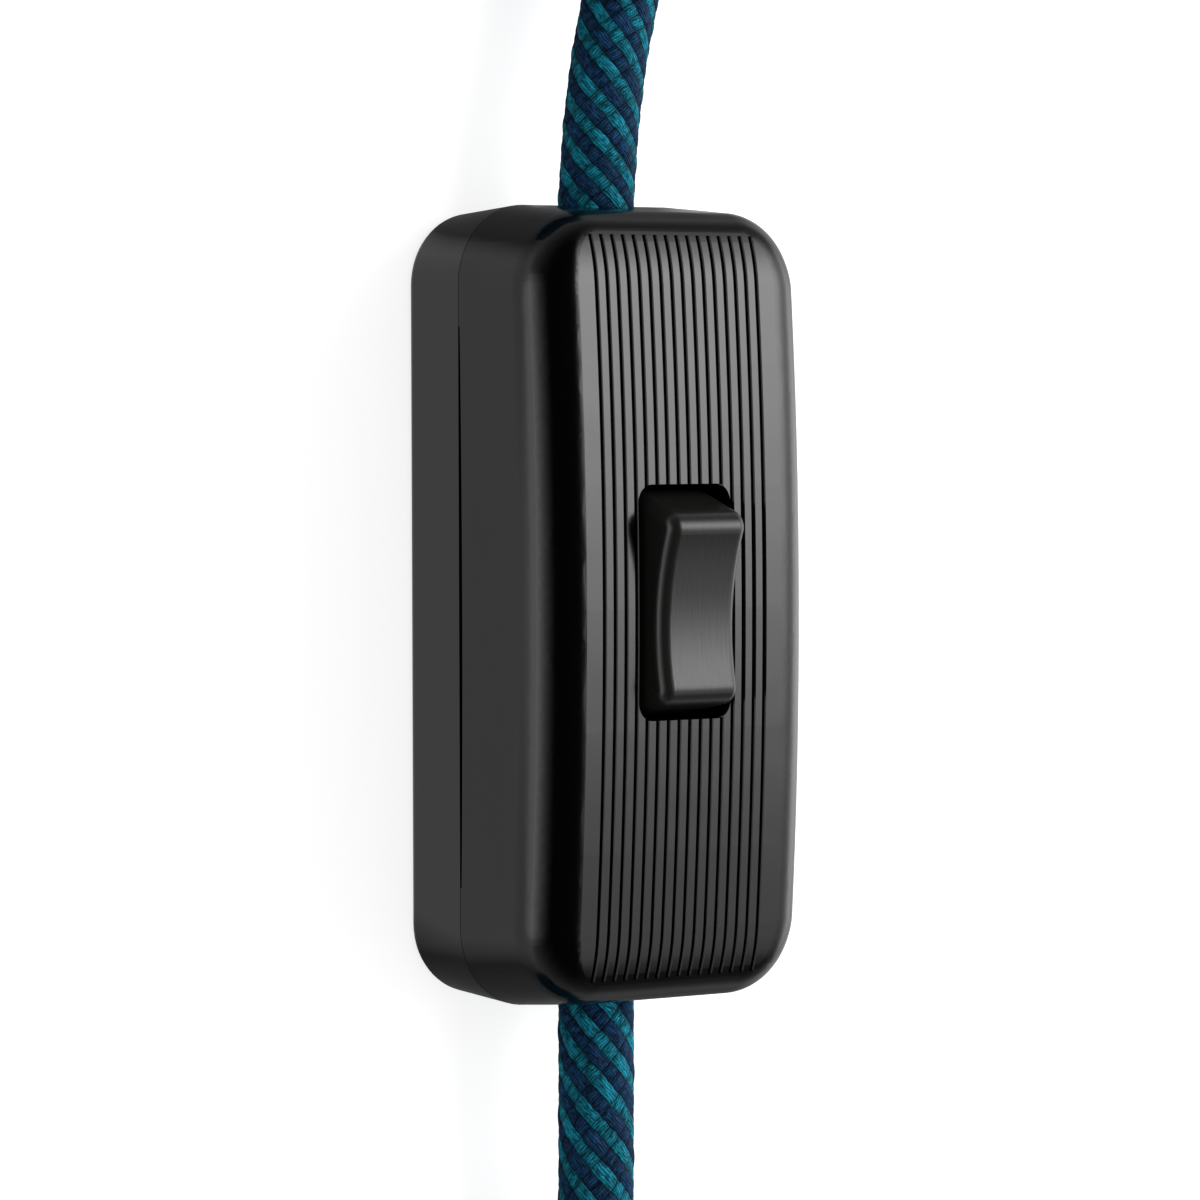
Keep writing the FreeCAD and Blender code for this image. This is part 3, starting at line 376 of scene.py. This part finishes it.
def moulded_plastic(name, colour, worn_colour, grain_size=4000.0, **surface):
    """Moulded plastic with grain, slow waviness and rubbed edges."""
    edge_width, amount_worn = 0.00025, 0.5
    material, tree, shader = new_material(name)
    grained = place_skin(tree, grain_size=grain_size, **surface)
    rubbing = {"Width": edge_width, "Amount": amount_worn}
    rubbed = add(tree, "ShaderNodeGroup", rubbing, node_tree=wear)["Mask"]
    values = {
        "Base Color": blend_colour(tree, rubbed, (*colour, 1), (*worn_colour, 1)),
        "Roughness": grained["Roughness"],
        "Normal": grained["Normal"],
    }
    fill(tree, shader, values)
    return material


def metal(name, colour, roughness):
    """Plated or drawn metal with fine tool lines."""
    material, tree, shader = new_material(name)
    grained = place_skin(tree, roughness, change=0.15, grain_size=9000.0, grain_depth=0.25, wave_depth=0.05)
    values = {
        "Metallic": 1.0,
        "Base Color": (*colour, 1),
        "Roughness": grained["Roughness"],
        "Normal": grained["Normal"],
    }
    fill(tree, shader, values)
    return material


def stripped_core(node, insulation):
    """A core's insulation, and twisted copper where it is stripped at its low Y end, with painted shade
    between the copper's strands.
    """
    radians_per_metre, strands_round = 2400.0, 8
    strand_depth = 0.00015
    copper_in_painted_shade, copper_in_painted_light = (0.30, 0.10, 0.045, 1), (0.80, 0.36, 0.19, 1)
    low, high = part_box(node)
    material, tree, shader = new_material(node.replace("_", " "))
    x, y, z = apart(tree, object_place(tree))
    bare = calc(tree, "LESS_THAN", y, low[1] + BARE_COPPER_LENGTH * MM)
    aside = calc(tree, "SUBTRACT", x, (low[0] + high[0]) / 2)
    above = calc(tree, "SUBTRACT", z, (low[2] + high[2]) / 2)
    turned = calc(tree, "MULTIPLY_ADD", y, radians_per_metre, calc(tree, "ARCTAN2", above, aside))
    strands = humps(tree, turned, strands_round / 2)
    grained = place_skin(tree, 0.38, change=0.1, grain_size=6000.0, grain_depth=0.2, wave_depth=0.1)
    # Painted shade and light on the copper: dark in the grooves between its strands, bright on their tops
    copper = blend_colour(tree, strands, copper_in_painted_shade, copper_in_painted_light)
    twist = product(tree, strands, bare)
    values = {
        "Base Color": blend_colour(tree, bare, (*insulation, 1), copper),
        "Metallic": bare,
        "Roughness": grained["Roughness"],
        "Normal": relief(tree, twist, strength=0.8, distance=strand_depth, Normal=grained["Normal"]),
    }
    fill(tree, shader, values)
    return material


def braided_textile(name, first, second):
    """The two-tone braid of the leads. Their UV holds the angle and the turns."""
    braid_depth = 0.0003
    material, tree, shader = new_material(name)
    angle, turns, _ = apart(tree, add(tree, "ShaderNodeUVMap", uv_map="Braid")[0])
    weave = add(tree, "ShaderNodeGroup", {"Angle": angle, "Turns": turns}, node_tree=braid)
    colour = blend_colour(tree, weave["Second Strand"], (*first, 1), (*second, 1))
    values = {
        # The braid's colours multiplied by its painted shade between strands and yarns, and by its uneven
        # tone
        "Base Color": blend_colour(tree, 1.0, colour, weave["Shade"], "MULTIPLY"),
        "Roughness": 0.62,
        "Specular IOR Level": 0.12,
        "Normal": relief(tree, weave["Height"], strength=0.9, distance=braid_depth),
    }
    fill(tree, shader, values)
    return material


textile = braided_textile("teal and navy braid", (0.009, 0.29, 0.42), (0.009, 0.062, 0.165))
FINISHES = {
    "gloss_black": moulded_plastic(
        "gloss black moulding",
        colour=(0.0012, 0.0013, 0.0016),
        worn_colour=(0.012, 0.012, 0.012),
        roughness=0.16,
        change=0.05,
        grain_depth=0.05,
        wave_depth=0.05,
    ),
    "satin_black": moulded_plastic(
        "satin black rocker",
        colour=(0.0165, 0.0160, 0.0152),
        worn_colour=(0.03, 0.03, 0.03),
        roughness=0.29,
        change=0.10,
        grain_size=3500.0,
        grain_along=0.04,
        grain_depth=0.25,
        wave_depth=0.03,
    ),
    "grey_plastic": moulded_plastic(
        "grey insulation",
        colour=(0.35, 0.34, 0.32),
        worn_colour=(0.4, 0.4, 0.38),
        roughness=0.5,
        change=0.1,
        grain_depth=0.4,
        wave_depth=0.05,
    ),
    "white_plastic": moulded_plastic(
        "white insulation",
        colour=(0.75, 0.75, 0.72),
        worn_colour=(0.8, 0.8, 0.78),
        roughness=0.45,
        change=0.1,
        grain_depth=0.4,
        wave_depth=0.05,
    ),
    "brown_core": moulded_plastic(
        "brown core",
        colour=BROWN_INSULATION,
        worn_colour=(0.2, 0.08, 0.04),
        roughness=0.4,
        change=0.1,
        grain_depth=0.2,
        wave_depth=0.1,
    ),
    "blue_core": moulded_plastic(
        "blue core",
        colour=BLUE_INSULATION,
        worn_colour=(0.06, 0.18, 0.5),
        roughness=0.4,
        change=0.1,
        grain_depth=0.2,
        wave_depth=0.1,
    ),
    "tie": moulded_plastic(
        "tie",
        colour=(0.015, 0.015, 0.015),
        worn_colour=(0.05, 0.05, 0.05),
        roughness=0.6,
        change=0.1,
        grain_depth=0.5,
        wave_depth=0.2,
    ),
    "plug_black": moulded_plastic(
        "plug moulding",
        colour=(0.010, 0.010, 0.011),
        worn_colour=(0.05, 0.05, 0.05),
        roughness=0.38,
        change=0.08,
        grain_depth=0.5,
        wave_depth=0.05,
    ),
    "sleeve": moulded_plastic(
        "pin sleeve",
        colour=(0.015, 0.015, 0.016),
        worn_colour=(0.05, 0.05, 0.05),
        roughness=0.4,
        change=0.08,
        grain_depth=0.2,
        wave_depth=0.05,
    ),
    "steel": metal("zinc plated steel", (0.62, 0.61, 0.58), 0.3),
    "brass": metal("brass", (0.72, 0.50, 0.22), 0.28),
    "pin_metal": metal("nickel plated pin", (0.66, 0.63, 0.58), 0.2),
    "braided_cord": textile,
}
for part in frame["record"]["subparts"]:
    for slot in frame["nodes"][part["node"]].material_slots:
        slot.material = FINISHES[part["material_slot"]]
for node, insulation in (
    ("lamp_end_live_core", BROWN_INSULATION),
    ("lamp_end_neutral_core", BLUE_INSULATION),
):
    frame["nodes"][node].material_slots[0].material = stripped_core(node, insulation)


# The leads


def smoothstep(t, start, end):
    """0 before start, 1 after end, and a smooth rise between them."""
    x = min(1.0, max(0.0, (t - start) / (end - start)))
    return x * x * (3 - 2 * x)


def turn_points(near, run, side, first, last, shape):
    """Control points of a hank's turns. shape(t) gives its centre x, radius and height at t turns."""
    points = []
    for turn in range(int(first), int(last) + 1):
        fold = math.pi * shape(turn + 0.5)[1]
        whole = 2 * run + 2 * fold
        places = [(run * k, "right", k) for k in RUN_SHARES]
        places += [(run + fold * a / 180, "far", a) for a in FOLD_ANGLES]
        places += [(run + fold + run * k, "left", k) for k in RUN_SHARES]
        places += [(2 * run + fold + fold * a / 180, "near", a) for a in FOLD_ANGLES]
        for length, where, k in places:
            t = turn + length / whole
            if not first <= t <= last:
                continue
            centre, radius, height = shape(t)
            wide = radius / math.cos(math.radians(FOLD_ANGLES[0]))
            if where == "right":
                points.append((centre + radius, near + side * run * k, height))
            elif where == "left":
                points.append((centre - radius, near + side * run * (1 - k), height))
            else:
                flip = 1 if where == "far" else -1
                end = near + side * run if where == "far" else near
                x = centre + flip * wide * math.cos(math.radians(k))
                y = end + flip * side * wide * math.sin(math.radians(k))
                points.append((x, y, height))
    return points


def moved(t, stretch):
    """How far the cord has moved over at t turns: one diameter after the stretch."""
    return CORD_DIAMETER * smoothstep(t, *stretch)


def mains_shape(t):
    """Centre, radius and height of the mains lead's hank at t turns."""
    centre = MAINS_HANK_CENTRE - moved(t, MAINS_CLIMBS_AGAIN) / 2
    radius = MAINS_HANK_RADIUS - moved(t, MAINS_MOVES_IN) + moved(t, MAINS_MOVES_OUT)
    radius -= moved(t, MAINS_MOVES_IN_AGAIN)
    height = CORD_DIAMETER / 2 + moved(t, MAINS_CLIMBS) + moved(t, MAINS_CLIMBS_AGAIN)
    return centre, radius, height


def lamp_shape(t):
    """Centre, radius and height of the lamp lead's hank at t turns."""
    height = CORD_DIAMETER / 2 + moved(t, LAMP_CLIMBS) + moved(t, LAMP_CLIMBS_AGAIN)
    return LAMP_HANK_CENTRE, LAMP_HANK_RADIUS, height


def spline_points(points):
    """Points that follow the route's smooth spline, in metres."""
    curve = bpy.data.curves.new("route", "CURVE")
    curve.dimensions = "3D"
    curve.resolution_u = 16
    spline = curve.splines.new("NURBS")
    spline.points.add(len(points) - 1)
    for point, place in zip(spline.points, points):
        point.co = (place[0] * MM, place[1] * MM, place[2] * MM, 1.0)
    spline.order_u = 3
    spline.use_endpoint_u = True
    holder = bpy.data.objects.new("route", curve)
    line = bpy.data.meshes.new_from_object(holder)
    found = [v.co.copy() for v in line.vertices]
    bpy.data.objects.remove(holder)
    bpy.data.curves.remove(curve)
    bpy.data.meshes.remove(line)
    return found


def line_length(points):
    """The length of a line of points."""
    return sum((b - a).length for a, b in zip(points, points[1:]))


def at_lengths(points, lengths):
    """The places at these lengths along a line of points."""
    gone = [0.0]
    for a, b in zip(points, points[1:]):
        gone.append(gone[-1] + (b - a).length)
    found, k = [], 0
    for s in lengths:
        while k < len(points) - 2 and gone[k + 1] < s:
            k += 1
        share = (s - gone[k]) / (gone[k + 1] - gone[k])
        found.append(points[k].lerp(points[k + 1], share))
    return found


def ring_lengths(whole):
    """Where a lead's rings sit along it, and how many steps are fine ones."""
    fine = FINE_LENGTH * MM
    fine_count = int(FINE_LENGTH / FINE_STEP)
    coarse_count = int((whole - fine) / (COARSE_STEP * MM))
    lengths = [fine * k / fine_count for k in range(fine_count + 1)]
    lengths += [fine + (whole - fine) * k / coarse_count for k in range(1, coarse_count + 1)]
    return lengths, fine_count


def square_to(tangent, direction):
    """The part of a direction that is square to the tangent, at length 1."""
    return (direction - tangent * direction.dot(tangent)).normalized()


def ring_directions(centres):
    """Two directions square to the line at each centre, carried along it without a twist."""
    tangent = (centres[1] - centres[0]).normalized()
    normal = square_to(tangent, Vector((0, 0, 1)))
    found = []
    for k in range(len(centres)):
        ahead = (centres[min(k + 1, len(centres) - 1)] - centres[max(k - 1, 0)]).normalized()
        normal = square_to(ahead, tangent.rotation_difference(ahead) @ normal)
        tangent = ahead
        found.append((normal, tangent.cross(normal)))
    return found


def braid_height(angle, turns):
    """How far the braid stands above its lowest line, in millimetres."""
    side_round, float_end_round = 0.5, 0.4
    one_way = STRANDS * (angle + turns)
    other_way = STRANDS * (angle - turns)
    under = (math.floor(one_way) + math.floor(other_way / 2)) % 2
    across = STRAND_BULGE * math.sin(math.pi * (one_way % 1.0)) ** side_round
    if under:
        return RIB_SHARE * across * math.sin(math.pi * (other_way % 1.0)) ** side_round
    return across * math.sin(math.pi * ((other_way / 2) % 1.0)) ** float_end_round


def faces_between(made, uv_layer, first, second):
    """The faces between two rings. The second may have half as many corners."""
    (a, a_turns), (b, b_turns) = first, second
    step = len(a) // len(b)
    for n in range(len(b)):
        corners = [(b[n], n / len(b), b_turns), (b[(n + 1) % len(b)], (n + 1) / len(b), b_turns)]
        for m in range(step, -1, -1):
            corners.append((a[(n * step + m) % len(a)], (n * step + m) / len(a), a_turns))
        corners.reverse()
        face = made.faces.new([corner for corner, _, _ in corners])
        for loop, (_, angle, turns) in zip(face.loops, corners):
            loop[uv_layer].uv = (angle, turns)
        face.smooth = True


def lead_tube(name, points, braid_lead, phase):
    """A braided tube along a line, with its strands in relief and the braid's angle and turns as UV."""
    lengths, fine_count = ring_lengths(line_length(points))
    centres = at_lengths(points, lengths)
    low_radius = CORD_DIAMETER / 2 - STRAND_BULGE * RIB_SHARE
    made = bmesh.new()
    uv_layer = made.loops.layers.uv.new("Braid")
    rings = []
    for k, (normal, side) in enumerate(ring_directions(centres)):
        count = FINE_SIDES if k <= fine_count else COARSE_SIDES
        turns = lengths[k] / (braid_lead * MM) + phase
        ring = []
        for angle in (n / count for n in range(count)):
            reach = (low_radius + braid_height(angle, turns)) * MM
            turned = normal * math.cos(2 * math.pi * angle) + side * math.sin(2 * math.pi * angle)
            ring.append(made.verts.new(centres[k] + turned * reach))
        rings.append((ring, turns))
    for first, second in zip(rings, rings[1:]):
        faces_between(made, uv_layer, first, second)
    for ring, turns in ((rings[0][0][::-1], rings[0][1]), rings[-1]):
        for loop in made.faces.new(ring).loops:
            loop[uv_layer].uv = (0.0, turns)
    made.normal_update()
    mesh = bpy.data.meshes.new(name)
    made.to_mesh(mesh)
    made.free()
    mesh.materials.append(textile)
    piece = bpy.data.objects.new(name, mesh)
    bpy.context.scene.collection.objects.link(piece)
    return piece


mains_turns = turn_points(MAINS_HANK_START, MAINS_HANK_RUN, -1, *MAINS_HANK_TURNS, mains_shape)
mains_line = spline_points(MAINS_ROUTE + mains_turns + TAIL_ROUTE)
lamp_turns = turn_points(LAMP_HANK_START, LAMP_HANK_RUN, 1, *LAMP_HANK_TURNS, lamp_shape)
lamp_line = spline_points(LAMP_ROUTE + lamp_turns + LAMP_END_ROUTE)
mains_lead = lead_tube("mains_lead_braid", mains_line, MAINS_BRAID_LEAD, MAINS_BRAID_PHASE)
lamp_lead = lead_tube("lamp_lead_braid", lamp_line, LAMP_BRAID_LEAD, LAMP_BRAID_PHASE)
for piece, old in (
    (mains_lead, ("mains_lead", "mains_lead_hank", "plug_tail")),
    (lamp_lead, ("lamp_lead", "lamp_lead_hank")),
):
    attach(piece, "case")
    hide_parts(*old)


# The studio


def camera_at_photo():
    """The camera of the photograph: a long lens, looking down on the switch from its left side."""
    yaw, pitch, roll = math.radians(37.27), math.radians(2.04), math.radians(-0.16)
    aim, distance = Vector((0, 0, 10)), 558.65
    aim_left, aim_up = 0.153, 0.348
    back = Vector((-math.sin(yaw) * math.cos(pitch), math.sin(pitch), math.cos(yaw) * math.cos(pitch)))
    right = Vector((0, 1, 0)).cross(back).normalized()
    up = back.cross(right)
    across = right * math.cos(roll) + up * math.sin(roll)
    above = up * math.cos(roll) - right * math.sin(roll)
    centre = (aim - across * aim_left + above * aim_up + back * distance) * MM
    turn = Matrix((across, above, back)).transposed().to_4x4()
    data = bpy.data.cameras.new("camera")
    data.lens = 182.44
    data.sensor_width = 36.0
    data.clip_start = 0.01
    data.clip_end = 20.0
    camera = bpy.data.objects.new("camera", data)
    camera.matrix_world = Matrix.Translation(centre) @ turn
    bpy.context.scene.collection.objects.link(camera)
    bpy.context.scene.camera = camera


def bell(tree, value, middle, spread):
    """1 at the middle, and a soft fall to both sides."""
    off = calc(tree, "DIVIDE", calc(tree, "SUBTRACT", value, middle), spread)
    return calc(tree, "EXPONENT", product(tree, off, off, -0.5))


def graded_soft_box():
    """The studio's one large light, up on the right, with a soft bright middle and a dim far end."""
    side_angle, end_angle = math.radians(52), math.radians(12)
    distance, half_width, half_height = 0.9, 0.52, 1.0
    bright_at, width_of_bright, length_of_bright = -0.27, 0.29, 0.235
    edge_starts, edge_ends = -0.47, -0.34
    dim_starts, dim_at_full, dim_level = -0.42, -0.6, 0.14
    far_end_starts, far_end_ends = -1.0, -0.8
    data = bpy.data.lights.new("soft box", "AREA")
    data.shape = "RECTANGLE"
    data.size = 2 * half_width * distance
    data.size_y = 2 * half_height * distance
    data.energy = PEAK_LUMINANCE * math.pi * data.size * data.size_y
    data.use_nodes = True
    tree = data.node_tree
    x, y, _ = apart(tree, add(tree, "ShaderNodeNewGeometry")["Parametric"])
    across = calc(tree, "MULTIPLY", calc(tree, "SUBTRACT", x, 0.5), 2 * half_width)
    along = calc(tree, "MULTIPLY", calc(tree, "SUBTRACT", y, 0.5), 2 * half_height)
    inner_edge = remap(tree, across, edge_starts, edge_ends, 0.0, 1.0)
    dim_rise = remap(tree, along, dim_starts, dim_at_full, 0.0, dim_level)
    dim_end = product(tree, dim_rise, remap(tree, along, far_end_starts, far_end_ends, 0.0, 1.0))
    lengthwise = calc(tree, "ADD", bell(tree, along, 0.0, length_of_bright), dim_end)
    strength = product(tree, bell(tree, across, bright_at, width_of_bright), lengthwise, inner_edge)
    fill(tree, tree.nodes["Emission"], {"Strength": strength})
    flat = math.cos(end_angle)
    away = Vector((math.sin(side_angle) * flat, math.sin(end_angle), math.cos(side_angle) * flat))
    along_case = square_to(away, Vector((0, 1, 0)))
    turn = Matrix((along_case.cross(away), along_case, away)).transposed().to_4x4()
    lamp = bpy.data.objects.new("soft box", data)
    lamp.matrix_world = Matrix.Translation(Vector((0, 0, 0.01)) + away * distance) @ turn
    bpy.context.scene.collection.objects.link(lamp)


def mirrored_rays(tree, path):
    """1 for rays that see the surroundings in a reflection or through glass."""
    return calc(tree, "MAXIMUM", path["Is Glossy Ray"], path["Is Transmission Ray"])


def sideways(tree, across, along, none=0.88, full=0.99, least=DIMMER_AT_ENDS):
    """1 towards both long sides of the case, least towards its two ends."""
    squares = [calc(tree, "MULTIPLY", way, way) for way in (across, along)]
    reach = calc(tree, "SQRT", calc(tree, "ADD", *squares))
    share = calc(tree, "DIVIDE", calc(tree, "ABSOLUTE", across), reach)
    return remap(tree, share, none, full, least, 1.0)


def floor_in_reflections(tree):
    """The floor's glow in reflections: a painted shadow of the case, dim beside it and dimmer off its ends,
    and painted light far away.
    """
    case_middle, corner_x, corner_y = 0.003, 0.008, 0.026
    near_edge, far_edge, end_allowance = 0.028, 0.10, 0.020
    x, y, _ = apart(tree, object_place(tree))
    aside = calc(tree, "ABSOLUTE", x)
    beyond_end = calc(tree, "SUBTRACT", calc(tree, "ABSOLUTE", y), end_allowance)
    rise = FAR_FLOOR_IN_REFLECTIONS - NEAR_FLOOR_IN_REFLECTIONS
    far = remap(tree, calc(tree, "MAXIMUM", aside, beyond_end), near_edge, far_edge, 0.0, rise)
    past_side = calc(tree, "SUBTRACT", aside, corner_x)
    from_middle = calc(tree, "ABSOLUTE", calc(tree, "SUBTRACT", y, case_middle))
    past_end = calc(tree, "MAXIMUM", calc(tree, "SUBTRACT", from_middle, corner_y), 0.0)
    beside = sideways(tree, past_side, past_end, none=0.56, full=0.84, least=0.16)
    near = calc(tree, "MULTIPLY", beside, NEAR_FLOOR_IN_REFLECTIONS)
    return calc(tree, "MULTIPLY_ADD", far, sideways(tree, x, y), near)


def pale_floor():
    """A large pale floor that keeps the shadow."""
    reach = 3
    pale, dark_in_reflections = (0.8, 0.8, 0.8, 1), (0.1, 0.1, 0.1, 1)
    corners = [(-reach, -reach, 0), (reach, -reach, 0), (reach, reach, 0), (-reach, reach, 0)]
    mesh = bpy.data.meshes.new("floor")
    mesh.from_pydata(corners, [], [(0, 1, 2, 3)])
    floor = bpy.data.objects.new("floor", mesh)
    bpy.context.scene.collection.objects.link(floor)
    material, tree, shader = new_material("pale floor")
    path = add(tree, "ShaderNodeLightPath")
    mirrored = mirrored_rays(tree, path)
    to_camera = calc(tree, "MULTIPLY", path["Is Camera Ray"], FLOOR_TO_CAMERA)
    values = {
        # In reflections the lit floor is dark, and its glow paints the shadow of the case and the light far
        # away
        "Base Color": blend_colour(tree, mirrored, pale, dark_in_reflections),
        "Roughness": 0.9,
        "Specular IOR Level": 0.0,
        "Emission Color": WHITE,
        "Emission Strength": calc(tree, "MULTIPLY_ADD", mirrored, floor_in_reflections(tree), to_camera),
    }
    fill(tree, shader, values)
    mesh.materials.append(material)


def white_surround():
    """White to the camera, a plain room light, and in reflections a low band beside the case."""
    band_top, band_fall = 0.75, 1.7
    world = bpy.data.worlds.new("studio")
    world.use_nodes = True
    bpy.context.scene.world = world
    tree = world.node_tree
    x, y, z = apart(tree, add(tree, "ShaderNodeTexCoord")["Generated"])
    band = calc(tree, "POWER", remap(tree, z, 0.0, band_top, 1.0, 0.0), band_fall)
    band = product(tree, band, HORIZON_LUMINANCE, sideways(tree, x, y))
    path = add(tree, "ShaderNodeLightPath")
    room = blend_value(tree, mirrored_rays(tree, path), ROOM_LIGHT, band)
    strength = blend_value(tree, path["Is Camera Ray"], room, 1.0)
    fill(tree, tree.nodes["Background"], {"Color": WHITE, "Strength": strength})


pale_floor()
white_surround()
camera_at_photo()
graded_soft_box()
bpy.context.scene.view_settings.view_transform = "Standard"
